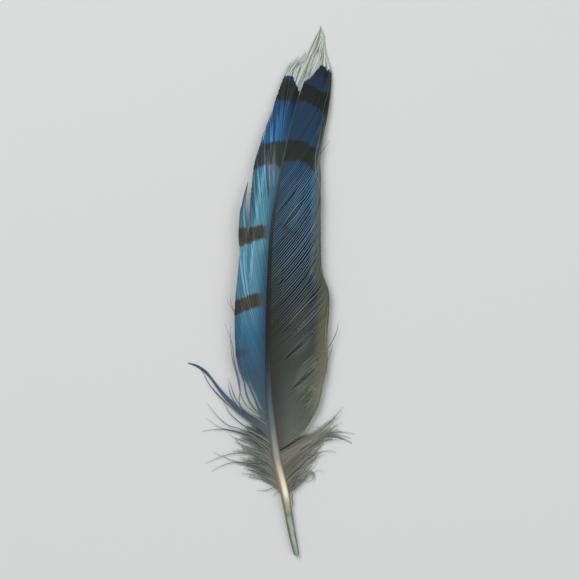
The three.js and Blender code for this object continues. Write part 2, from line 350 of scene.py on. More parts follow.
# A barb's section, from its left border over the rib and back underneath.
SECTION_ACROSS = np.array([-1, -0.36, -0.18, 0, 0.18, 0.36, 1, 1, 0, -1])  # of the web
SECTION_UP = np.array([0.02, 0.025, 0.07, 0.09, 0.07, 0.025, 0.02, -0.02, -0.09, -0.02])  # mm
TOP_POINTS = 7
LEAST_RIB = 0.3  # height of a rib at its tip, over its full height
WEB_LAP = 1.1  # neighbouring webs lap over each other by this much
WEB_TILT = 0.1  # so that each lies on the next like a shingle
BARE_RIB = 0.085  # half width of a rib that has lost its web, near the free end
RIB_TIP = 0.03  # the same at its end
RIB_TAPER = 1.5  # length over which it narrows to that
BARBULE_SLANT = 0.6  # barbules run this far towards the tip, over their way out
BARBULE_DRAWN = 0.13  # about 0.03 mm apart in fact, and drawn wider so that they show
BARB_UNEVEN = 0.012  # neighbouring barbs lie higher or lower by about this much
RIPPLE = 0.05  # a vane's free edge waves up and down by this much
RIPPLE_TURN = 0.6  # how much that changes from barb to barb
LOOSE_RISE = 5  # steps over which a loose barb comes up out of the vane
LOOSE_ROOT = 0.2  # its web there, over the full one
SPLIT_SHARE = 5  # barbs on each side that crowd together to make room for a split
SPLIT_HIGHLIGHT_AT = (0.15, 0.4)  # a barb pushed aside by this much beside a split gets a painted highlight
SPLIT_HIGHLIGHT = 2.5  # how much brighter that painted highlight makes it
BAR_JAG = 0.13  # a bar's edge steps up or down by about this much from barb to barb
NO_BAR = -9.0  # how deep in a bar a point lies where no bar is near
# The underside's layout: its narrow sides and two halves, between these places.
UNDER_BORDERS = np.array([0.0, 0.1, 0.5, 0.9, 1.0])
TOP_LAYOUT = 0.62  # length of the top's columns in the layout
UNDER_LAYOUT = (0.64, 0.32)  # start and length of the underside's columns above them
CAP_LAYOUT = (0.97, 0.99)  # the closed ends of the barbs lie above both
CAP_HEIGHT = 0.008


def vane_height(across, along):
    """Height of a vane, which leaves the shaft level and then curls down to its edge."""
    out = across - shaft_across(along)
    reach = np.abs(out) / np.where(out < 0, OUTER_VANE_WIDTH, INNER_VANE_WIDTH)
    seat = shaft_underside(along) + VANE_SEAT * SHAFT_DEPTH * shaft_width(along)
    return seat * (1 - VANE_CAMBER * np.clip(reach, 0, CAMBER_END) ** CAMBER_EASE)


def barb_family(roots, tips, edge, bow, up, way, hug):
    """The middle lines of a row of barbs, (barb, step, across and along).

    A barb leaves the shaft, bows out by bow at the share up of its rise, comes to the
    vane's edge near tips, and runs along it over hug mm.
    """
    step = np.arange(BARB_STEPS + 1)[None, :]
    u = np.clip(step / EDGE_STEP, 0, 1)[..., None]
    t = np.clip((step - EDGE_STEP) / (BARB_STEPS - EDGE_STEP), 0, 1)
    meets = tips - 0.5 * hug
    turn = roots + up * (tips - roots)
    root = np.stack([shaft_across(roots), roots], axis=1)[:, None]
    middle = np.stack([shaft_across(turn) + way * bow, turn], axis=1)[:, None]
    inset = (EDGE_INSET * hug)[:, None]
    along = meets[:, None] + hug[:, None] * t
    beside = np.stack([edge(along) - way * inset * (1 - t) ** 1.5, along], axis=-1)
    paths = (1 - u) ** 2 * root + 2 * u * (1 - u) * middle + u * u * beside
    for _ in range(EDGE_SOFTENING):
        paths[:, 1:-1] = (paths[:, :-2] + 2 * paths[:, 1:-1] + paths[:, 2:]) / 4
    return paths


def side_of(paths):
    """Level unit vectors to the right of each path."""
    ahead = np.gradient(paths[..., :2], axis=1)
    ahead /= np.linalg.norm(ahead, axis=-1, keepdims=True) + 1e-9
    return np.stack([ahead[..., 1], -ahead[..., 0]], axis=-1)


def open_split(paths, foot, head, width, open_end=False):
    """Parts the two barbs nearest to the line from foot to head, and crowds the next ones."""
    near = [np.linalg.norm(paths - point, axis=-1) for point in (foot, head)]
    below = int(np.argmin(near[0].min(axis=1) + near[1].min(axis=1)))
    start, stop = (int(distance[below].argmin()) for distance in near)
    t = np.clip((np.arange(paths.shape[1]) - start) / max(stop - start, 1), 0, 1)
    gap = width / 2 * (t ** 1.3 if open_end else np.sin(math.pi * t) ** 0.8)
    side = side_of(paths)
    higher = np.sign(np.sum((paths[1:] - paths[:-1]) * side[:-1]))  # side of the higher barbs
    parted = paths.copy()
    for step in range(SPLIT_SHARE):
        give = higher * (1 - step / SPLIT_SHARE) * gap[:, None]
        parted[below - step] -= give * side[below - step]
        if below + 1 + step < len(paths):
            parted[below + 1 + step] += give * side[below + 1 + step]
    return parted


def gather(paths, pull, rng):
    """Draws barbs together in strands of two to four, more and more towards their ends."""
    gathered = paths.copy()
    rising = ease(np.linspace(0, 1, paths.shape[1]), 0.4, 1.0)[:, None]
    first = 0
    while first < len(paths):
        last = min(first + int(rng.integers(2, 5)), len(paths))
        inwards = paths[first:last].mean(axis=0) - paths[first:last]
        gathered[first:last] += pull[first:last, None, None] * rising * inwards
        first = last
    return gathered


def web_widths(paths):
    """Half the distance to the neighbouring barbs, at each step of each barb."""
    side = side_of(paths)
    to_next = np.abs(np.sum((paths[1:] - paths[:-1]) * side[:-1], axis=-1))
    before = np.concatenate([to_next[:1], to_next])
    after = np.concatenate([to_next, to_next[-1:]])
    return (before + after) / 4 * WEB_LAP


def length_along(paths):
    pieces = np.linalg.norm(np.diff(paths, axis=1), axis=-1)
    return np.concatenate([np.zeros((len(paths), 1)), np.cumsum(pieces, axis=1)], axis=1)


def bare_towards_tip(paths, web, bare_length):
    """Narrows the web to the bare rib over the last bare_length mm of each barb."""
    run = length_along(paths)
    left = run[:, -1:] - run
    rib = np.minimum(BARE_RIB, web)
    beyond = (web - rib) * ease(left, 0.25 * bare_length[:, None], bare_length[:, None])
    point = RIB_TIP + (BARE_RIB - RIB_TIP) * ease(left, 0, RIB_TAPER)
    return beyond + np.minimum(rib, point)


def ribbon_mesh(paths, heights, web, rest=None, relief=1.0):
    """Closed ribbons along paths: points, faces, layout, and what is read at each point.

    rest is where the barbs lay before they moved, which their colours are read from. relief,
    one number or one for each step, is how far the ribs stand out.
    """
    rest = paths if rest is None else rest
    barbs, stations = web.shape
    ring = len(SECTION_ACROSS)
    shape = (barbs, stations, ring)
    offset = SECTION_ACROSS * web[..., None]
    flat = paths[:, :, None] + side_of(paths)[:, :, None] * offset[..., None]
    rib = np.clip(web / BARE_RIB, LEAST_RIB, 1)[..., None]
    relief = np.broadcast_to(relief, web.shape)[..., None]
    section = np.where(SECTION_UP > 0, SECTION_UP * relief, SECTION_UP)
    level = heights[..., None] + section * rib - WEB_TILT * offset
    points = np.concatenate([flat, np.maximum(level, LOWEST_FACE)[..., None]], axis=-1)

    # Layout: a column for each barb, its top in the lower part and its underside above.
    first = np.arange(barbs)[:, None, None]
    top_borders = (SECTION_ACROSS[:TOP_POINTS] + 1) / 2
    left = first + np.concatenate([top_borders[:-1], UNDER_BORDERS[:-1]])
    right = first + np.concatenate([top_borders[1:], UNDER_BORDERS[1:]])
    top = np.arange(ring) < TOP_POINTS - 1
    base, span = np.where(top, 0.0, UNDER_LAYOUT[0]), np.where(top, TOP_LAYOUT, UNDER_LAYOUT[1])
    step = np.arange(stations - 1)[None, :, None] / (stations - 1)
    low, high = base + span * step, base + span * (step + 1 / (stations - 1))
    cap_x = (np.arange(barbs)[:, None] + (SECTION_ACROSS + 1) / 2) / barbs
    cap_y = np.broadcast_to(SECTION_UP / np.ptp(SECTION_UP) * CAP_HEIGHT, cap_x.shape)
    cap_corners = np.stack([
        np.stack([cap_x, cap_y + CAP_LAYOUT[0]], axis=-1)[:, ::-1],
        np.stack([cap_x, cap_y + CAP_LAYOUT[1]], axis=-1),
    ], axis=1)
    corners = np.concatenate([
        quad_corners(left / barbs, right / barbs, low, high), cap_corners.reshape(-1, 2)])

    read_at = rest[:, :, None] + side_of(rest)[:, :, None] * offset[..., None]
    readings = {
        "across": read_at[..., 0],
        "along": read_at[..., 1],
        "rib": np.broadcast_to(np.abs(SECTION_ACROSS), shape),
        "under": np.broadcast_to(np.arange(ring) >= TOP_POINTS, shape),
        "run": length_along(rest)[..., None] + BARBULE_SLANT * offset,
    }
    return points.reshape(-1, 3), ring_faces(*shape), corners, readings


def soft_surface(tree, colour, bright, web_share, grain, gloss, specular):
    """The barbules' fine lines across the webs, and the gloss of soft keratin."""
    turns = add(tree, "Math", {0: "run", 1: 2 * math.pi / BARBULE_DRAWN}, operation="MULTIPLY")
    barbules = add(tree, "Math", {0: turns}, operation="SINE")
    on_web = add(tree, "Math", {0: barbules, 1: web_share}, operation="MULTIPLY")
    lines = add(tree, "MapRange", {
        "Value": on_web, "From": (-1, 1), "To": (1 - grain, 1 + grain)})
    value = add(tree, "Math", {0: bright, 1: lines}, operation="MULTIPLY")
    shader = add(tree, "BsdfPrincipled", {
        "Base Color": add(tree, "HueSaturation", {"Color": colour, "Value": value}),
        "Roughness": add(tree, "MapRange", {"Value": web_share, "To": gloss}),
        "Normal": add(tree, "Bump", {"Height": on_web, "Strength": 0.3, "Distance": 0.00003}),
        "IOR": 1.54,
        "Specular IOR Level": specular,
    })
    add(tree, "OutputMaterial", {"Surface": shader})


def barred_keratin(name, ribs, webs, by_shaft, by_edge, bar_ribs, bar_webs, shaft_reach, rib_edge):
    """Barbs of a jay's vane: soft, almost matt keratin. The blue comes from the ribs, whose
    spongy keratin scatters it; the barbules between them are brown-black with melanin, and
    so are the bars. White has neither. Underneath, the vane is a dull grey.

    The shade beside the shaft goes out to shaft_reach, over the vane's width. A rib is seen as
    wide as rib_edge, over its web.
    """
    material, tree = new_material(name)
    web_share, near_shaft, near_edge, in_bar, in_white = (
        add(tree, "MapRange", {"Value": value, "From": ends}, interpolation_type="SMOOTHSTEP")
        for value, ends in (
            ("rib", (0.4 * rib_edge, rib_edge)), ("reach", (shaft_reach, 0.02)),
            ("reach", (0.72, 0.95)), ("bar", (-0.35, 0.35)), ("white", (-0.15, 0.2))))
    in_bar = add(tree, "Math", {0: in_bar, 1: "bar_share"}, operation="MULTIPLY")
    vane = coats(tree, web_share, [
        (1.0, ribs, webs),
        (near_shaft, by_shaft, by_shaft),
        (near_edge, by_edge, by_edge),
        (in_bar, bar_ribs, bar_webs),
        # In the white tip the webs are a darker grey than the ribs: painted shade between the white
        # strands.
        (in_white, [(0, "#cdd6cc")], [(0, "#869086")]),
        ("under", [(0, "#6b7072", 0.65)], [(0, "#4b4f50", 0.65)]),
    ])
    # Tone differs at random from barb to barb; beside a split it also carries a painted highlight.
    bright = add(tree, "MapRange", {"Value": "tone", "From": (-1, 3), "To": (0.8, 1.6)})
    soft_surface(tree, vane, bright, web_share, grain=0.1, gloss=(0.48, 0.72), specular=0.12)
    return material


def bar_readings(across, along, bars, jag):
    """How deep each point lies inside the nearest bar, in mm, and how strong that bar is."""
    deepest = np.full(across.shape, NO_BAR)
    share = np.zeros(across.shape)
    for top, bottom, strength, (starts, ends) in bars:
        depth = np.minimum(smooth(top)(across) - along - jag, along + jag - smooth(bottom)(across))
        fading = strength * ease(across, *starts) * (1 - ease(across, *ends))
        share = np.where(depth > deepest, fading, share)
        deepest = np.maximum(depth, deepest)
    return deepest, share


def vane_piece(
        name, rest, edge, material, bars, splits, bare, pull, loosened, relief, streaks, rng,
        lift=0.0):
    """Makes one vane from its barbs as they grew, and reads off what its colours depend on.

    Curves along the feather say how long the bare end of a barb is (bare), how far barbs are
    drawn into strands (pull), how much web they have lost (loosened), how far their ribs stand
    out (relief), and how much their shades differ (streaks). Loose barbs lie higher by lift.
    """
    roots = rest[:, 0, 1]
    whole = gather(rest, pull(roots), rng)
    paths = whole
    for split in splits:
        paths = open_split(paths, *split)
    split_highlight = ease(np.linalg.norm(paths - whole, axis=-1), *SPLIT_HIGHLIGHT_AT)

    step = np.arange(BARB_STEPS + 1)
    past = step - EDGE_STEP
    web = np.minimum(WEB_WHOLE * web_widths(rest), WEB_STRETCH * web_widths(paths))
    web = np.maximum(web, EDGE_WEB * ease(past, -18, -8))
    web = np.maximum(web, TURN_WEB * ease(past, -14, -7) * (1 - ease(past, 1, 5)))
    web = web * (1 - loosened(roots)[:, None] * rng.random((len(roots), 1)))
    web = bare_towards_tip(rest, web, bare(roots))
    wave = np.cumsum(rng.normal(0, 1, len(roots)))
    wave -= np.linspace(wave[0], wave[-1], len(wave))
    ripple = RIPPLE * np.sin(RIPPLE_TURN * wave)[:, None] * step / BARB_STEPS
    heights = np.maximum(vane_height(paths[..., 0], paths[..., 1]) + ripple, LOWEST)
    if lift:
        risen = ease(step, 0, LOOSE_RISE)
        web = web * (LOOSE_ROOT + (1 - LOOSE_ROOT) * risen)
        heights += lift * (2 * risen - 1)
    heights += rng.normal(0, BARB_UNEVEN, (len(roots), 1))
    points, faces, corners, readings = ribbon_mesh(
        paths, heights, web, rest, relief(rest[..., 1]))

    across, along = readings.pop("across"), readings["along"]
    each = (len(roots), 1, 1)
    jag = rng.normal(0, BAR_JAG, each)
    shaft = shaft_across(along)
    readings["reach"] = np.clip((across - shaft) / (edge(along) - shaft + 1e-6), 0, 1.2)
    readings["bar"], readings["bar_share"] = bar_readings(across, along, bars, jag)
    readings["white"] = along + jag - white_from(across)
    tone = np.clip(rng.normal(0, 1, each) * streaks(along), -1, 1)
    # Painted highlight: barbs pushed aside by a split are made brighter.
    readings["tone"] = tone + SPLIT_HIGHLIGHT * split_highlight[..., None]
    new_piece(name, (points, faces, corners, readings), material)


# The white tip starts along this V-shaped line, (across, along).
white_from = smooth([
    (-1, 109.3), (0.3, 109.2), (1, 108.3), (1.6, 106.8), (2.2, 105.5), (2.6, 106.6), (3.1, 107.6),
    (4.1, 108.3), (6.6, 111), (7.3, 111.6), (8.8, 110.3),
])

# ---- Outer vane ---------------------------------------------------------------------------
# The narrow vane met the wind. Its barbs lean close to the shaft and are bright blue, pale
# cyan towards the edge, with brown-black bars. Some have come unhooked and stand apart.

OUTER_ROOTS = np.arange(29.2, 107, 0.6)
OUTER_UNEVEN = 0.25  # a barb's tip lies higher or lower by about this much
OUTER_HUG = 1.2  # length over which a barb runs along the edge
# Where the barb from each root ends, where the vane's edge is, at which share of its rise a
# barb turns up, and how far it bows out.
outer_tips = smooth([
    (26, 42), (30, 50), (38, 60), (45, 68), (60, 86), (75, 99), (80, 104), (84, 108.5), (88, 112.4),
    (93, 113.5), (97, 115), (100, 117.5), (103, 119.3), (106, 119.8), (108, 119.9),
])
outer_ends = smooth([
    (39, -10.9), (43, -12), (50, -12.5), (57, -12.5), (66, -11.6), (68.8, -11.1), (70.4, -9.35),
    (76, -9.1), (82, -8.7), (86, -8.3), (90, -7.9), (94, -6.6), (97, -5.7), (101, -4.1),
    (105, -2.7), (107.5, -1.75), (109.2, -1.05), (109.9, 0), (110.6, 1.2), (111.7, 2.1),
    (112.8, 3.5), (114.2, 4.4), (116.8, 5.6), (118.6, 6.3), (120, 6.9),
])
outer_up = smooth([(26, 0.35), (45, 0.38), (60, 0.4), (85, 0.45), (107, 0.5)])
outer_bow = smooth([
    (26, 6.3), (35, 6), (45, 5.3), (60, 3.3), (75, 2.3), (85, 2.1), (93, 2.6), (100, 1.6),
    (107, 0.3),
])
# Foot, head, width, and whether it stays open at the head.
OUTER_SPLITS = [
    ((-5.2, 80.5), (-5.4, 95.9), 0.8),
    ((-3.7, 83.2), (-3.7, 98.8), 0.65),
    ((-7.5, 86), (-5.9, 96.5), 0.3),
    ((-7.0, 79.5), (-6.9, 90.0), 0.15),
    ((-7.5, 32.2), (-10.9, 39.5), 1.1),
    ((-5.3, 31.9), (-10.4, 40), 0.5),
    ((0.3, 108.2), (1.6, 111.0), 0.3, True),
    ((0.9, 107.6), (2.6, 112.0), 0.3, True),
    ((1.5, 106.8), (3.6, 112.4), 0.25, True),
]
NO_FADE = (-99, -98)  # for a bar that is at full strength from its left end on
# Each bar's top and bottom line (across, along), how strong it is, and where it fades in
# and out across the vane.
OUTER_BARS = [
    ([(-1.2, 108.4), (1, 107.35), (2, 105.7)],
     [(-2.8, 103.55), (-0.6, 103.4), (1.5, 102.65)], 1.0, (NO_FADE, (8, 9))),
    ([(-8, 93.6), (-4, 94.3), (0, 94.3)],
     [(-8.06, 87.7), (-6.6, 88.6), (-4.6, 89.1), (-3.2, 89), (-2.3, 88.1)],
     0.95, (NO_FADE, (8, 9))),
    ([(-11.1, 74.6), (-9.15, 74.7), (-7.5, 75.1), (-5.3, 75.2)],
     [(-11.1, 70.4), (-9.15, 71), (-7.5, 71.8), (-5.3, 72.1)], 0.95, (NO_FADE, (-6.3, -4.3))),
    ([(-12.3, 58.3), (-11.1, 58.7), (-9.3, 59.2), (-7.5, 59.8), (-6.1, 59.8)],
     [(-12.4, 54.7), (-11.1, 55.4), (-9.3, 56), (-7.5, 56.5), (-6.2, 56.9)],
     0.95, (NO_FADE, (-7.4, -5.5))),
    ([(-12.5, 46.7), (-10, 47.1), (-8, 47.6)],
     [(-12.5, 45.1), (-10, 45.7), (-8, 46.4)], 0.5, (NO_FADE, (-10.4, -8.6))),
]
outer_blue = barred_keratin(
    "blue_barb_keratin_of_the_outer_vane",
    ribs=[(28, "#767e7b"), (35, "#536874"), (42, "#466479"), (50, "#437899"), (58, "#69a1b5"),
          (70, "#7cbacd"), (86, "#69a6bd"), (94, "#478abf"), (103, "#2d537e"), (107.5, "#273f62")],
    webs=[(28, "#5a5e54"), (35, "#3b4b56"), (42, "#354c60"), (50, "#325c75"), (58, "#467082"),
          (70, "#4c7f8d"), (86, "#3b6475"), (94, "#25517c"), (103, "#1e3c59"), (107.5, "#1a2d47")],
    by_shaft=[(28, "#565f5d", 0.8), (36, "#3e5058", 0.7), (50, "#2a425b", 0.9),
              (62, "#2a4864", 0.9), (75, "#2b4e69", 0.8), (86, "#40658a", 0.6),
              (100, "#1d3a55", 0.8)],
    by_edge=[(30, "#4f5f68", 0.4), (50, "#38688a", 0.3), (68, "#5b93ad", 0.2), (80, "#2e4f66", 0.5),
             (90, "#33597f", 0.3), (100, "#33597f", 0.3)],
    bar_ribs=[(45, "#4c4c3e"), (75, "#564f3e"), (90, "#4b534b"), (105, "#2e3633")],
    bar_webs=[(45, "#3a382d"), (75, "#3c362a"), (90, "#2a302c"), (105, "#1f2625")],
    shaft_reach=0.5, rib_edge=0.65)
chance = np.random.default_rng(11)
tips = outer_tips(OUTER_ROOTS) + chance.normal(0, OUTER_UNEVEN, len(OUTER_ROOTS))
outer_family = barb_family(
    OUTER_ROOTS, tips, outer_ends, outer_bow(OUTER_ROOTS), outer_up(OUTER_ROOTS), -1,
    hug=np.full(len(OUTER_ROOTS), OUTER_HUG))
vane_piece(
    "outer_vane", outer_family, outer_ends, outer_blue, OUTER_BARS, OUTER_SPLITS,
    bare=smooth([(29, 4), (50, 1.5), (62, 1.5), (68, 4), (77, 4), (80, 1.5), (86, 1.2), (90, 4),
                 (97, 6), (101, 4), (107, 2.5)]),
    pull=smooth([(29, 0.3), (38, 0), (58, 0), (66, 0.5), (77, 0.6), (80, 0.2), (86, 0.2), (89, 0.7),
                 (99, 0.85), (107, 0.7)]),
    loosened=smooth([(29, 0.02), (60, 0.02), (74, 0.05), (90, 0.05), (107, 0.05)]),
    relief=smooth([(25, 0.35), (45, 0.35), (58, 0.7), (88, 0.9), (100, 0.6), (108, 1)]),
    streaks=smooth([(29, 0.2), (48, 0.3), (60, 0.8), (108, 0.8)]), rng=chance)

# ---- Loose ends of the outer vane ---------------------------------------------------------
# Barbs of the same vane that came unhooked and stand off its edge: one tapered lock below
# the second bar, and single white ends beside the tip. They keep the vane's colours.

EDGE_LOCK_BARBS = 7
EDGE_LOCK = [  # its left and its right border
    [(-8.3, 57), (-9.5, 61.5), (-10.7, 65.5), (-11.3, 70), (-11.25, 74.8), (-10.9, 79), (-10.3, 82),
     (-9.55, 85.1)],
    [(-7.6, 57), (-8.5, 62), (-9.15, 66), (-9.65, 70.5), (-10.1, 74), (-10.35, 77.5), (-10.2, 81),
     (-9.55, 84.6)],
]
WHITE_STRAYS = [
    [(-2.6, 103.6), (-1.7, 107), (-1, 109.2), (-0.5, 110.9), (0.3, 112.4)],
    [(-2.3, 103.6), (-1.4, 107), (-0.8, 109), (-0.1, 110.8), (0.9, 112.3), (1.8, 113.6)],
    [(-2, 103.6), (-1.1, 107), (-0.5, 108.8), (0.4, 110.7), (1.6, 112.2), (3.1, 113.7),
     (3.6, 115.1)],
    [(-1.7, 103.6), (-0.8, 107), (-0.1, 108.8), (0.6, 110.2), (1.5, 111.5), (2.4, 112.3)],
]


def follow(points, steps):
    """A smooth path, (step, across and along), through the given points."""
    points = np.array(points, float)
    run = np.concatenate([[0], np.cumsum(np.linalg.norm(np.diff(points, axis=0), axis=1))])
    at = np.linspace(0, run[-1], steps + 1)
    return np.stack([smooth(list(zip(run, points[:, i])))(at) for i in (0, 1)], axis=1)


def between(borders, steps, count):
    """Paths spread evenly from one border line to the other."""
    first, second = (follow(border, steps) for border in borders)
    share = np.linspace(0, 1, count)[:, None, None]
    return first * (1 - share) + second * share


def always(value):
    """A curve that has the same value all along the feather."""
    return lambda place: np.full(np.shape(place), value)


unhooked = {"splits": [], "pull": always(0.0), "loosened": always(0.0), "relief": always(1.0)}
strays = np.array([follow(points, BARB_STEPS) for points in WHITE_STRAYS])
for name, loose, bare_length in (
    ("edge_lock", between(EDGE_LOCK, BARB_STEPS, EDGE_LOCK_BARBS), 3.0),
    ("white_strays", strays, 7.0),
):
    vane_piece(name, loose, outer_ends, outer_blue, OUTER_BARS, bare=always(bare_length),
               streaks=always(0.45), rng=chance, **unhooked)

# ---- Inner vane ---------------------------------------------------------------------------
# The wide vane lay under its neighbour in the tail, so only its upper part is blue and the
# rest is grey. Dark barbules show between its paler ribs as a regular fine ruling.

INNER_ROOTS = np.arange(24.4, 107, 0.72)
INNER_UNEVEN = 0.22
inner_tips = smooth([
    (24.4, 39.2), (32, 46.5), (40, 56), (50, 67.5), (60, 77.5), (72, 89.3), (85, 104), (90, 110.5),
    (93, 114.5), (96, 117.5), (100, 119.2), (104, 119.8), (108, 119.9),
])
inner_ends = smooth([
    (35.5, 7), (39, 7.5), (43, 8.4), (50, 8.4), (57, 8.9), (61, 8.7), (63, 7.7), (66, 7), (86, 6.9),
    (90, 6.8), (94, 7.3), (101, 8.6), (105, 9.1), (108, 9.3), (110.5, 9.2), (112.7, 8.7),
    (114.5, 8.1), (118, 7.9), (119.3, 7.6), (120, 7),
])
inner_up = smooth([
    (24.4, 0.27), (32, 0.5), (40, 0.58), (50, 0.54), (60, 0.56), (72, 0.61), (85, 0.63), (92, 0.64),
    (100, 0.6), (107, 0.5),
])
inner_bow = smooth([
    (24.4, 9.2), (32, 10.4), (40, 10.4), (50, 10), (60, 9.2), (72, 7.9), (85, 6.6), (90, 6.3),
    (93, 6.7), (97, 4.8), (101, 2.6), (107, 0.5),
])
inner_hug = smooth([
    (24, 3), (34, 6), (48, 7), (56, 6.5), (64, 4.5), (76, 4), (88, 4), (95, 2), (107, 0.6),
])
INNER_SPLITS = [
    ((-3.2, 76.6), (1.7, 82.8), 0.4),
    ((-1.5, 74.7), (3.4, 80.5), 0.7),
    ((-2.6, 61.2), (-1.2, 62.6), 0.35),
    ((-2.4, 50.2), (6.6, 59.0), 0.65),
    ((-0.4, 50.4), (6.8, 56.7), 0.6),
    ((-1.8, 44.1), (6.4, 51.5), 0.8),
    ((0.6, 37.4), (6.8, 43.7), 1.25),
    ((3.0, 35.9), (6.5, 39.4), 0.7),
    ((5.0, 34.5), (6.9, 37.2), 0.4),
    ((3.2, 34.2), (5.6, 36.1), 0.45),
    ((4.0, 61.4), (5.7, 65.4), 0.6),
    ((5.3, 67.6), (5.9, 70.0), 0.35),
    ((4.2, 108.6), (6.8, 115.6), 0.9),
]
INNER_BARS = [
    ([(2.3, 105.9), (3.2, 107.2), (5.15, 106.8), (6.6, 105.9), (7.7, 105.5)],
     [(2.3, 103.6), (4.25, 103), (6.06, 101.9), (7.15, 101), (8.2, 99.6)],
     1.0, (NO_FADE, (8.6, 9.4))),
    ([(1, 94.5), (3.4, 94.1), (5.2, 92.8)],
     [(-0.8, 89.6), (0.64, 89.9), (2, 89.8), (3.1, 89.5), (3.9, 89.1), (4.7, 88.4), (5.6, 87.4)],
     0.95, (NO_FADE, (5.2, 6.4))),
    ([(-1.6, 75.4), (0, 74.7), (1.6, 73.7), (2.6, 72.9)],
     [(-1.6, 74.1), (0, 72.9), (1.6, 71.7), (2.6, 71.1)], 0.35, ((-2.6, -1.2), (1.2, 3.2))),
    ([(6.9, 111.4), (8.8, 110.9)], [(6.9, 109.3), (8.8, 107.8)], 0.7, ((6.6, 7.5), (8.8, 9.2))),
]
inner_grey = barred_keratin(
    "grey_blue_barb_keratin_of_the_inner_vane",
    ribs=[(26, "#6e7167"), (31, "#61655c"), (36, "#535851"), (44, "#484b45"), (52, "#4b504d"),
          (60, "#546268"), (72, "#577388"), (84, "#547c9a"), (92, "#2f4e6c"), (104, "#27405c"),
          (110, "#263548")],
    webs=[(26, "#676a60"), (31, "#5a5e55"), (36, "#4f544e"), (44, "#414642"), (52, "#2b3131"),
          (60, "#121c22"), (72, "#080f14"), (84, "#091c2a"), (92, "#1c3449"), (104, "#1d3247"),
          (110, "#1c2937")],
    by_shaft=[(26, "#4a4a3f", 0.8), (36, "#37372d", 0.85), (52, "#302f27", 0.8),
              (62, "#2c3431", 0.7), (74, "#2c4756", 0.5), (86, "#2b4861", 0.4),
              (100, "#243a4e", 0.5)],
    by_edge=[(26, "#777a6e", 0.8), (40, "#7a7967", 0.9), (55, "#60604d", 0.9), (63, "#555b4d", 0.9),
             (72, "#4e574b", 0.6), (86, "#4a5850", 0.6), (100, "#333f3d", 0.7)],
    bar_ribs=[(72, "#3f443d"), (90, "#343a30"), (105, "#262c28")],
    bar_webs=[(72, "#1e221e"), (90, "#1d221c"), (105, "#181e1c")],
    shaft_reach=0.45, rib_edge=0.5)
chance = np.random.default_rng(12)
tips = inner_tips(INNER_ROOTS) + chance.normal(0, INNER_UNEVEN, len(INNER_ROOTS))
inner_family = barb_family(
    INNER_ROOTS, tips, inner_ends, inner_bow(INNER_ROOTS), inner_up(INNER_ROOTS), 1,
    inner_hug(INNER_ROOTS))
vane_piece(
    "inner_vane", inner_family, inner_ends, inner_grey, INNER_BARS, INNER_SPLITS,
    bare=smooth([(24, 1.5), (86, 1.5), (92, 3), (97, 5), (107, 3)]),
    pull=smooth([(24, 0.1), (44, 0.2), (60, 0.1), (86, 0.1), (91, 0.4), (96, 0.75), (107, 0.7)]),
    loosened=smooth([(24, 0.03), (50, 0.05), (66, 0.08), (86, 0.06), (107, 0.05)]),
    relief=smooth([(24, 0.04), (44, 0.05), (54, 0.3), (60, 0.5), (68, 0.8), (86, 0.8), (94, 0.3),
                   (108, 0.4)]),
    streaks=smooth([(24, 0.1), (44, 0.15), (56, 0.45), (108, 0.45)]), rng=chance)

# ---- Loose ends of the inner vane ---------------------------------------------------------
# Single barbs of the same vane whose webs have come unhooked. They lie on it and run along
# its edge, in a pale olive.

EDGE_BARB_LIFT = 0.12  # how far over the vane they lie
EDGE_BARBS = [
    [(6.8, 74.6), (7, 81), (6.8, 83.5), (6.1, 86), (5.7, 88.5), (5.9, 91.6), (6.6, 94.6),
     (7.2, 97.6)],
    [(6.4, 86.6), (6.6, 89.4), (7, 92.3), (7.5, 95.3), (8, 98.6)],
    [(6.1, 64.5), (6.5, 67.4), (6.5, 72.9), (6.8, 78.3), (6.9, 82.8), (6.6, 86), (6.7, 88.6),
     (6.9, 91), (7.3, 94.6), (7.6, 97.5)],
    [(5.4, 84.2), (6.2, 88), (6.9, 93), (7.9, 98.3), (8.6, 101), (9.2, 105.5), (9.4, 109.2),
     (9.3, 111.5)],
    [(6.2, 91.5), (7.3, 99.2), (7.7, 101.9), (8.4, 104.6), (8.95, 107.3), (8.8, 110)],
    [(6.6, 66.6), (7.1, 64.8), (7.9, 62.7), (8.6, 60.9), (8.9, 59.2), (8.9, 56.8)],
    [(5.6, 66), (6.3, 69), (6.4, 72), (6.7, 77), (6.9, 80.5)],
    [(5, 72), (6, 76), (6.2, 80), (6.4, 85), (6.5, 90)],
    [(7.6, 42), (8.2, 46), (8, 50), (8.3, 54), (8.7, 57.5)],
    [(7, 39.5), (7.8, 42.6), (8.3, 46.5), (8.2, 49), (8.4, 52)],
    [(2.4, 43), (3.4, 44.1), (5.6, 46), (7.7, 48.2), (8.2, 51.5)],
    [(3.6, 41.3), (4.9, 42.5), (6.5, 44.2), (7.6, 46), (8, 49)],
    [(2.2, 37), (3.4, 38.3), (5.2, 40), (6.8, 41.8), (7.6, 43.7), (8, 46.5)],
    [(1.8, 34.9), (3, 36.2), (4.6, 37.8), (6.1, 39.4), (7.1, 41.4), (7.6, 43.8)],
]

# These barbs are a pale olive, and have none of the vane's shades.
olive = [(40, "#8b8e7c"), (60, "#757b6c"), (75, "#6f7a70"), (88, "#838e7f"), (98, "#55625c"),
         (108, "#47534e")]
no_shade = [(0, "#757b6c", 0)]
pale_olive = barred_keratin(
    "olive_barb_keratin_of_the_loose_ends", ribs=olive, webs=olive, by_shaft=no_shade,
    by_edge=no_shade, bar_ribs=olive, bar_webs=olive, shaft_reach=0.5, rib_edge=0.8)
edge_barbs = np.array([follow(points, BARB_STEPS) for points in EDGE_BARBS])
vane_piece("edge_barbs", edge_barbs, inner_ends, pale_olive, bars=[], bare=always(99.0),
           streaks=always(0.6), rng=chance, lift=EDGE_BARB_LIFT, **unhooked)

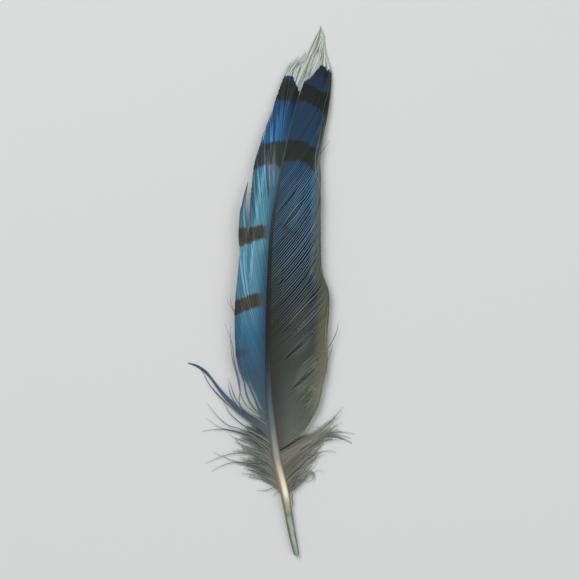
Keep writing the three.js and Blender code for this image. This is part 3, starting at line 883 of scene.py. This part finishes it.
# ---- Loose barbs --------------------------------------------------------------------------
# Barbs that have come unhooked over their whole length: the long blue lock at the foot of
# the outer vane, and single barbs along both edges and through the down. They are ribs with
# narrow webs, and they sink until their ends rest on the surface below.

LOOSE_STEPS = 36
LOCK_BARBS = 10
LOCK_WEB = (0.1, 0.24)  # half width of the lock's webs, at least and at most
LOCK_WANDER = 0.06  # a barb's end lies beside its place by about this much
LOCK_UNEVEN = 0.02  # and higher or lower by this
LOCK_DARK = 1.5  # the lock is this much darker at its root
SUNK_ROOT = 0.25  # a single barb's root lies this far below the vane's top
# The long blue lock, between its upper and its lower border.
BLUE_LOCK = [
    [(-4.1, 30.2), (-5.4, 30.8), (-8, 31.9), (-10.7, 33.5), (-13.4, 35.6), (-15.55, 37.8),
     (-17.65, 40.4), (-19.2, 42.3), (-21.4, 43.6), (-23.2, 43.95)],
    [(-3.5, 25.2), (-5, 27.2), (-6.9, 29.1), (-9.5, 31), (-11.9, 32.9), (-14.3, 35.3),
     (-16.2, 37.7), (-18, 40.3), (-19.8, 42.1), (-21.6, 43.3), (-23.15, 43.9)],
]
# Single barbs: their points (across, along), the height of their end, their web, and how
# blue they are.
SINGLE_BARBS = [
    # out of the blue lock and beside it
    ([(-3.2, 24.5), (-5.6, 26.6), (-8.7, 28.5), (-12.1, 31), (-13.8, 32.7), (-15.4, 35.8)],
     0.6, 0.13, 0.6),
    ([(-10.8, 33), (-13.3, 36.3), (-14.1, 39.6)], 1.2, 0.11, 0.8),
    ([(-10.6, 33.2), (-12.3, 35.8), (-13.3, 38.4), (-14, 40.6)], 1.3, 0.1, 0.8),
    ([(-9, 30.4), (-11.6, 32.3), (-13.6, 34.1), (-15, 35.4), (-16.7, 37.1), (-18.4, 39.2),
      (-19.5, 41.2), (-20.2, 42.3)], 0.2, 0.13, 0.9),
    ([(-8.6, 30.2), (-11.3, 32.1), (-13.4, 33.9), (-14.9, 35.2), (-16.9, 37.2), (-18.5, 39.4),
      (-19.3, 41)], 0.2, 0.11, 0.9),
    # the crossing pair that rises along the outer edge
    ([(-4.1, 29.4), (-7.9, 31.7), (-10.4, 33.4), (-11.5, 35), (-11.3, 37.5), (-11.6, 40.3),
      (-12.6, 44), (-13.2, 48.4), (-14.8, 52.9)], 1.5, 0.13, 0.6),
    ([(-4.2, 30), (-7.2, 32.2), (-9.9, 34.4), (-11.2, 37), (-12, 40.9), (-12.9, 44), (-13.3, 46.7),
      (-13.5, 49.6), (-13.4, 52.4)], 1.5, 0.11, 0.7),
    ([(-12.4, 53.6), (-12.8, 55.8), (-13.7, 57.1), (-14.5, 58.8)], 1.2, 0.05, 0.3),
    ([(-12.4, 55.2), (-13.1, 56.9), (-13.5, 58.2), (-13.4, 60)], 1.2, 0.05, 0.3),
    # down's long strands on the left
    ([(-3.1, 22.8), (-4.8, 24.6), (-8.3, 27.2), (-11.2, 28.9), (-13.8, 29.7), (-15.4, 30.8),
      (-17.5, 33), (-18.8, 34.8)], 0.4, 0.11, 0.45),
    ([(-3, 21.6), (-4.8, 23.8), (-8.3, 26.8), (-12, 28.4), (-15.4, 29.1), (-16.9, 29.8),
      (-18.9, 31.4)], 0.4, 0.09, 0.8),
    ([(-2.8, 20.5), (-5.4, 24.1), (-8.3, 26.6), (-11.2, 27.9), (-14.8, 28.8), (-17.5, 28.8),
      (-19.8, 28.4)], 0.2, 0.13, 0.6),
    ([(-2.6, 19.5), (-5.5, 22.4), (-8.4, 23.2), (-10.4, 24.5), (-12.5, 26.8), (-14.1, 28.1)],
     0.5, 0.1, 0.1),
    ([(-2.4, 18.4), (-4.5, 20.8), (-7, 22.9), (-10.2, 23.5), (-13.3, 23.3), (-15.7, 22.6),
      (-19.2, 21.1)], 0.1, 0.1, 0.1),
    ([(-2, 16.5), (-3.4, 18.8), (-6, 21.2), (-9.1, 21.3), (-12.1, 21.5), (-14.6, 22.4),
      (-17.5, 23.7)], 0.3, 0.1, 0.1),
    ([(-1.7, 15.5), (-3.2, 17.6), (-6, 20.2), (-9.1, 21), (-12.9, 21.3), (-15.4, 20.6),
      (-17.8, 19.3)], 0.1, 0.11, 0.1),
    ([(-1.2, 13.4), (-3.2, 15.6), (-5.4, 15), (-7.4, 14.9)], 0.1, 0.09, 0.1),
    ([(-1, 12.6), (-2.4, 14.6), (-3.2, 14.4), (-3.9, 13.4)], 0.1, 0.07, 0.1),
    # down's strands on the right: one curled into a loop, its neighbours, and single ends
    ([(-0.2, 15.1), (1.4, 16.2), (3.1, 17.5), (3.9, 18.7), (4.9, 19.2), (5.4, 18.5), (5, 17.4),
      (3.9, 17), (3.2, 17.2)], 0.3, 0.12, 0.0),
    ([(0, 15.2), (1.6, 16.5), (3.3, 17.9), (4.1, 18.6), (4.9, 18.8), (5.2, 18.2), (4.7, 17.6)],
     0.4, 0.08, 0.0),
    ([(1, 16.6), (3.2, 17.8), (4.6, 19.1), (5.4, 19), (5.6, 18), (5.5, 16.7)], 0.2, 0.07, 0.0),
    ([(0.6, 16.4), (3.2, 17.6), (5.5, 19), (6.8, 19.6), (7.8, 19)], 0.2, 0.06, 0.0),
    ([(-0.8, 17), (1, 18.5), (4, 21.5), (6, 23.2), (7, 23.7), (9.1, 24), (10.5, 23.5)],
     0.3, 0.12, 0.0),
    ([(-1, 16.4), (1.8, 19.3), (4.4, 21.4), (5.9, 22.3), (7, 22.8), (8.3, 22.9)], 0.3, 0.1, 0.0),
    ([(-1.2, 17.6), (2, 20.5), (4.9, 23.4), (6.4, 24.4), (7.6, 25.9)], 0.4, 0.1, 0.0),
    ([(2.3, 26.2), (5, 27.4), (7, 28.4), (7.2, 28.9), (6.3, 29.4), (4.6, 29.4)], 1.2, 0.07, 0.0),
    ([(-0.3, 15), (0, 14.9), (0.4, 14.5), (0.6, 13.6), (0.2, 12.7)], 0.5, 0.08, 0.0),
    ([(-0.1, 14.2), (0.5, 13.2), (0.6, 11.7), (0.8, 10.8)], 0.5, 0.05, 0.0),
    ([(0, 13.6), (0.6, 12.8), (0.7, 12), (0.3, 11)], 0.4, 0.05, 0.0),
    # over the inner vane's edge
    ([(7.3, 45.9), (8.6, 47.3), (9.5, 48.7), (10.6, 51.1), (11, 53.4)], 1.0, 0.12, 0.0),
    ([(7.7, 43.9), (8.8, 45.1), (9.3, 46.6), (9.8, 48.3)], 0.9, 0.1, 0.0),
    ([(5.8, 86.6), (6.4, 88.8), (6.8, 90.8), (7.5, 92.3), (9.1, 94.4)], 1.4, 0.11, 0.3),
]


def sinking(paths, lift):
    """Heights of barbs that leave the vane and fall until their ends lie at lift."""
    u = np.linspace(0, 1, paths.shape[1])
    start = vane_height(paths[:, :1, 0], paths[:, :1, 1])
    return np.maximum(lift + LOWEST + (start - lift) * (1 - u) ** 1.5, LOWEST)


def loose_keratin():
    """The same soft keratin as the vanes, a little glossier than where it is closed. Loose
    barbs are grey, and those of the outer vane keep its blue."""
    material, tree = new_material("keratin_of_the_loose_barbs")
    web_share = add(tree, "MapRange", {"Value": "rib", "From": (0.25, 0.7)},
                    interpolation_type="SMOOTHSTEP")
    barb = coats(tree, web_share, [
        (1.0, [(0, "#8c8f81")], [(0, "#6e7267")]),
        ("blue", [(0, "#4f6d8b")], [(0, "#38526c")]),
        ("under", [(0, "#5d6163", 0.6)], [(0, "#5d6163", 0.6)]),
    ])
    bright = add(tree, "MapRange", {"Value": "tone", "From": (-2, 1), "To": (0.6, 1.2)})
    soft_surface(tree, barb, bright, web_share, grain=0.0, gloss=(0.42, 0.65), specular=0.5)
    return material


def loose_barbs():
    """The blue lock and the single barbs, in one mesh."""
    rng = np.random.default_rng(13)
    u = np.linspace(0, 1, LOOSE_STEPS + 1)
    lock = between(BLUE_LOCK, LOOSE_STEPS, LOCK_BARBS)
    paths = [lock + rng.normal(0, LOCK_WANDER, (LOCK_BARBS, 1, 2)) * u[:, None]]
    heights = [sinking(lock, 0.0) + rng.normal(0, LOCK_UNEVEN, (LOCK_BARBS, 1))]
    webs = [np.clip(web_widths(lock), *LOCK_WEB) * (1 - 0.7 * ease(u, 0.75, 1.0))]
    blues = [np.ones((LOCK_BARBS, 1)) * (0.15 + 0.8 * ease(u, 0.02, 0.35))]
    for points, lift, web, blue in SINGLE_BARBS:
        path = follow(points, LOOSE_STEPS)[None]
        sunk = SUNK_ROOT * (1 - ease(u, 0.02, 0.12))
        tapered = 0.4 + 0.6 * ease(u, 0, 0.1) - 0.75 * ease(u, 0.55, 1.0)
        paths.append(path)
        heights.append(np.maximum(sinking(path, lift) - sunk, LOWEST))
        webs.append(web * tapered[None])
        blues.append(blue * ease(u, 0.2, 0.6)[None])
    points, faces, corners, readings = ribbon_mesh(
        *(np.concatenate(rows) for rows in (paths, heights, webs)))
    shape = readings["along"].shape
    readings["blue"] = np.broadcast_to(np.concatenate(blues)[..., None], shape)
    tone = np.broadcast_to(rng.uniform(-0.6, 0.6, (shape[0], 1, 1)), shape).copy()
    tone[:LOCK_BARBS] -= LOCK_DARK * (1 - ease(u, 0.1, 0.4))[:, None]
    readings["tone"] = tone
    return points, faces, corners, readings


new_piece("loose_barbs", loose_barbs(), loose_keratin())

# ---- Down ---------------------------------------------------------------------------------
# Below the vanes the barbs have no hooks. Their ribs are thin and limp, and long fine
# barbules stand off them as fluff. Near the shaft they lie so close that they look closed.

DOWN_STEPS = 28
DOWN_PITCH = 0.15  # between roots, on each side of the shaft
DOWN_WEB = 0.17  # half width at the root, where the ribs lie close
DOWN_THINNER = 0.11  # lost over the middle
DOWN_TIP = 0.04  # lost again at the end
DOWN_UNEVEN = 0.7  # the ends lie up to this much higher than the lowest
DOWN_RELIEF = 0.6  # how far the ribs stand out, over those of a vane
STRAND = 3  # neighbouring barbs that share their shade
# Barbules are about 0.01 mm wide and 0.03 mm apart. They are drawn wider, and so fewer.
BARBULE_LONG = 1.5
BARBULE_WIDE = 0.022
BARBULE_PITCH = 0.15
BARBULE_LEAN = (38, 14)  # degrees from the rib, and how much that differs
BARBULE_RISE = 0.22  # how much they rise or fall, over their length
RIB_COLUMN = 0.39  # share of the flat layout for the ribs
SLIVER_COLUMN = 0.6  # and for the barbules beside them
# Guides: points (across, along) from the shaft outwards, from the highest to the lowest.
DOWN_LEFT = [
    [(-3.5, 26), (-5.1, 27.9), (-7.2, 29), (-9.4, 30.1)],
    [(-3, 23), (-5.2, 25.6), (-8.3, 27.3), (-12.4, 28.8)],
    [(-2.7, 21.2), (-5.4, 24.6), (-9, 26.3), (-13.2, 27)],
    [(-2.5, 19.6), (-5.4, 23), (-9, 24.6), (-12.6, 26.2)],
    [(-2.3, 18.2), (-4.8, 21.2), (-8.4, 23), (-13.4, 23.4)],
    [(-2, 16.8), (-4.2, 19.4), (-8, 21.2), (-13.6, 21.6)],
    [(-1.6, 15.2), (-3.6, 17.6), (-7.4, 19.5), (-12.8, 20.4)],
    [(-1.3, 13.8), (-2.9, 15.6), (-5.6, 17.2), (-9.6, 18.2)],
]
DOWN_RIGHT = [
    [(-2.9, 23.4), (-0.6, 24.7), (2.3, 26.7), (6.1, 28.8), (9.2, 31.2), (11.6, 33.9), (12.3, 35.2)],
    [(-2.7, 22.2), (0.2, 24), (4, 25.9), (6.5, 27.3), (9.2, 29.8), (11.2, 31.6)],
    [(-2.5, 20.8), (0.5, 23.2), (4.6, 26), (8.1, 27.8), (10.4, 28.8), (12.6, 29.8), (15, 30.4)],
    [(-2.3, 19.4), (1, 22.6), (4.6, 25.3), (6.9, 26.9), (8.8, 27.5), (11, 27.3), (12.8, 26.5),
     (14.8, 25.2)],
    [(-2, 17.8), (0.8, 20.8), (3.8, 23.6), (6, 25.3), (8, 26.6), (9.8, 27.4)],
    [(-1.8, 16.4), (0.8, 19.2), (3.8, 22), (5.6, 23.4), (6.9, 24.6), (8, 25.6)],
    [(-1.5, 15), (0.8, 17.4), (3.4, 19.6), (5.2, 21.2), (6.6, 22.4), (7.9, 22.8)],
    [(-1.2, 13.6), (0.2, 14.8), (2, 16), (3.4, 17.4), (4.4, 18.8), (5.3, 20.4)],
]
# Where the close part of the right down has come open: foot, head and width.
DOWN_SPLITS = [
    ((2.1, 23.9), (7.2, 27.3), 0.8),
    ((3.7, 22.7), (6.6, 24.9), 0.6),
    ((1.8, 19.4), (5.6, 22.6), 0.7),
    ((2.6, 18.2), (5.2, 21.0), 0.5),
]
# A barbule is a closed sliver of four faces: their corners, and where those lie in its cell.
SLIVER_FACES = np.array([[0, 2, 1], [0, 1, 3], [1, 2, 3], [2, 0, 3]])
SLIVER_LAYOUT = np.array([[0.1, 0.1], [0.9, 0.1], [0.5, 0.35], [0.5, 0.9]])


def read_at(at, places, rows):
    """Rows of values that are known at some places, read off at others."""
    return np.stack([np.interp(at, places, column) for column in rows.T], axis=1)


def down_barbs(guides, reach, pull, rng):
    """Paths that blend from guide to guide, drawn into strands, each cut short by chance."""
    lines = np.array([follow(points, DOWN_STEPS) for points in guides[::-1]])
    places = lines[:, 0, 1]
    roots = np.arange(places[0], places[-1], DOWN_PITCH)
    whole = read_at(roots, places, lines.reshape(len(lines), -1)).reshape(-1, *lines.shape[1:])
    whole = gather(whole, np.full(len(roots), pull), rng)
    keep = rng.uniform(*reach, len(roots))
    u = np.linspace(0, 1, DOWN_STEPS + 1)
    cut = np.array([read_at(u * share, u, path) for path, share in zip(whole, keep)])
    each = (len(roots), 1)
    swing = rng.normal(0, 0.35, each) * u ** 2
    curl = rng.normal(0, 0.3, each) * np.sin(u * rng.uniform(2, 5, each)) * u
    return cut + side_of(cut) * ((1 - pull) * (swing + curl))[..., None]


def barbules(paths, heights, start, length, rng):
    """Fine closed slivers on both sides of each path: points and the barb each belongs to."""
    run = length_along(paths)
    roots, ways, owners = [], [], []
    for b, path in enumerate(paths):
        at = np.arange(start[b] * run[b, -1], run[b, -1], BARBULE_PITCH)
        at = at + rng.uniform(-0.4, 0.4, len(at)) * BARBULE_PITCH
        spot = read_at(at, run[b], np.column_stack([path, heights[b]]))
        ahead = read_at(at, run[b], np.gradient(path, axis=0))
        x, y = (ahead / (np.linalg.norm(ahead, axis=1, keepdims=True) + 1e-9)).T
        for hand in (-1, 1):
            lean = np.radians(rng.normal(*BARBULE_LEAN, len(at))) * hand
            long = length * (1 - 0.55 * at / run[b, -1]) * rng.uniform(0.5, 1.2, len(at))
            rise = rng.normal(0, BARBULE_RISE, len(at))
            roots.append(spot)
            ways.append(long[:, None] * np.column_stack([
                x * np.cos(lean) + y * np.sin(lean), y * np.cos(lean) - x * np.sin(lean), rise]))
            owners.append(np.full(len(at), b))
    roots, ways, owners = (np.concatenate(rows) for rows in (roots, ways, owners))
    side = np.column_stack([ways[:, 1], -ways[:, 0], np.zeros(len(ways))])
    side *= BARBULE_WIDE / 2 / (np.linalg.norm(side, axis=1, keepdims=True) + 1e-9)
    ridge = roots + 0.15 * ways + [0, 0, BARBULE_WIDE]
    slivers = np.stack([roots - side, roots + side, ridge, roots + ways], axis=1)
    slivers[..., 2] = np.maximum(slivers[..., 2], LOWEST_FACE)
    return slivers, owners


def down_keratin():
    """Down is the thinnest keratin of the feather: grey, matt, and lit from all sides, so
    it looks soft. Ribs are paler than the barbules, and the highest still have some blue."""
    material, tree = new_material("downy_keratin")
    hair = coats(tree, "right", [
        (1.0, [(13, "#8b8c7e"), (20, "#7a7b6c"), (24, "#72766b"), (28, "#6a736f")],
         [(13, "#757464"), (20, "#69665a"), (26, "#6f6e60")]),
        ("away", [(13, "#8f968c"), (22, "#868e85"), (27, "#6d7a76"), (31, "#4f6170")],
         [(13, "#919386"), (22, "#8b8b7d"), (32, "#84867a")]),
        ("fluff", [(0, "#737d74")], [(0, "#7a7c6f")]),
    ])
    value = add(tree, "MapRange", {"Value": "tone", "From": (-1, 1), "To": (0.75, 1.25)})
    shader = add(tree, "BsdfPrincipled", {
        "Base Color": add(tree, "HueSaturation", {"Color": hair, "Value": value}),
        "Roughness": 0.75,
        "IOR": 1.54,
        "Sheen Weight": 0.15,
    })
    add(tree, "OutputMaterial", {"Surface": shader})
    return material


def down_piece(name, guides, reach, pull, splits, fluffy_from, length, right, seed):
    """The down of one side: ribs, barbules and what is read at their points."""
    rng = np.random.default_rng(seed)
    paths = down_barbs(guides, reach, pull, rng)
    for split in splits:
        paths = open_split(paths, *split)
    u = np.linspace(0, 1, DOWN_STEPS + 1)
    heights = sinking(paths, 0.0) + rng.uniform(0, DOWN_UNEVEN, (len(paths), 1)) * u
    web = DOWN_WEB - DOWN_THINNER * ease(u, 0.3, 0.65) - DOWN_TIP * ease(u, 0.8, 1.0)
    points, faces, corners, readings = ribbon_mesh(
        paths, heights, np.tile(web, (len(paths), 1)), relief=DOWN_RELIEF)
    start = rng.uniform(*fluffy_from, len(paths))
    slivers, owners = barbules(paths, heights, start, length, rng)
    tone = np.repeat(rng.uniform(-1, 1, len(paths) // STRAND + 1), STRAND)[:len(paths)]

    # Layout: the ribbons keep the left part, and each sliver has a small cell on the right.
    count = len(slivers)
    rows = math.ceil(math.sqrt(count / SLIVER_COLUMN))
    columns = math.ceil(count / rows)
    cell = np.stack([np.arange(count) // rows, np.arange(count) % rows], axis=1)
    spots = (cell[:, None] + SLIVER_LAYOUT) / [columns, rows]
    spots = spots * [SLIVER_COLUMN, 1] + [1 - SLIVER_COLUMN, 0]
    corners = np.concatenate([corners * [RIB_COLUMN, 1], spots[:, SLIVER_FACES].reshape(-1, 2)])
    first = len(points) + 4 * np.arange(count)[:, None, None]
    faces = faces + (first + SLIVER_FACES).reshape(-1, 3).tolist()
    shape = readings["along"].shape
    on_ribs_and_slivers = {
        "along": (readings["along"], slivers[..., 1]),
        "fluff": (0, 1),
        "right": (right, right),
        "away": (ease(u, 0.3, 0.6)[:, None], 1),
        "tone": (tone[:, None, None], tone[owners][:, None]),
    }
    readings = {
        title: np.concatenate([np.ravel(np.broadcast_to(ribs, shape)),
                               np.ravel(np.broadcast_to(fluff, (count, 4)))])
        for title, (ribs, fluff) in on_ribs_and_slivers.items()
    }
    points = np.concatenate([points, slivers.reshape(-1, 3)])
    new_piece(name, (points, faces, corners, readings), grey_down)


grey_down = down_keratin()
down_piece("down_left", DOWN_LEFT, reach=(0.55, 1.0), pull=0.3, splits=[],
           fluffy_from=(0.3, 0.55), length=BARBULE_LONG, right=0, seed=21)
down_piece("down_right", DOWN_RIGHT, reach=(0.6, 1.0), pull=0.75, splits=DOWN_SPLITS,
           fluffy_from=(0.6, 0.8), length=0.45 * BARBULE_LONG, right=1, seed=22)

# ---- Floor, light and camera --------------------------------------------------------------
# A plain pale matt floor, soft light from two large panels and the room, and a camera with a
# long lens that looks straight down.

FLOOR_SIZE = 2.4
PANELS = [  # place, size and power
    ("key_panel", (-0.35, 0.45, 0.75), 0.6, 5.2),
    ("fill_panel", (0.6, -0.2, 0.7), 0.8, 3.0),
]
ROOM_COLOUR = (0.9, 0.95, 1.0, 1)
ROOM_STRENGTH = 0.35
VIEW_WIDTH = 0.1317
VIEW_CENTRE = (0.00431, 0.00052)
FOCUS_HEIGHT = 0.001  # the view is this wide at this height
FOCAL_LENGTH = 200.0
SENSOR_WIDTH = 36.0

# Card is pressed paper pulp: white, matt and without a grain that shows at this size.
card, tree = new_material("matt_white_card")
shader = add(tree, "BsdfPrincipled", {"Base Color": paint("#dcdcda"), "Roughness": 0.9})
add(tree, "OutputMaterial", {"Surface": shader})
half = FLOOR_SIZE / 2
floor_mesh = bpy.data.meshes.new("floor")
floor_mesh.from_pydata(
    [(-half, -half, 0), (half, -half, 0), (half, half, 0), (-half, half, 0)], [], [(0, 1, 2, 3)])
floor_mesh.materials.append(card)
floor = bpy.data.objects.new("floor", floor_mesh)
bpy.context.scene.collection.objects.link(floor)

for title, place, size, power in PANELS:
    panel = bpy.data.lights.new(title, "AREA")
    panel.shape = "SQUARE"
    panel.size = size
    panel.energy = power
    lamp = bpy.data.objects.new(title, panel)
    lamp.location = place
    lamp.rotation_euler = (-lamp.location).to_track_quat("-Z", "Y").to_euler()
    bpy.context.scene.collection.objects.link(lamp)

room = bpy.data.worlds.new("room")
room.use_nodes = True
backdrop = room.node_tree.nodes["Background"]
backdrop.inputs["Color"].default_value = ROOM_COLOUR
backdrop.inputs["Strength"].default_value = ROOM_STRENGTH
bpy.context.scene.world = room

lens = bpy.data.cameras.new("camera")
lens.lens = FOCAL_LENGTH
lens.sensor_width = SENSOR_WIDTH
camera = bpy.data.objects.new("camera", lens)
camera.location = (*VIEW_CENTRE, FOCUS_HEIGHT + VIEW_WIDTH * FOCAL_LENGTH / SENSOR_WIDTH)
bpy.context.scene.collection.objects.link(camera)
bpy.context.scene.camera = camera
bpy.context.scene.view_settings.view_transform = "Standard"
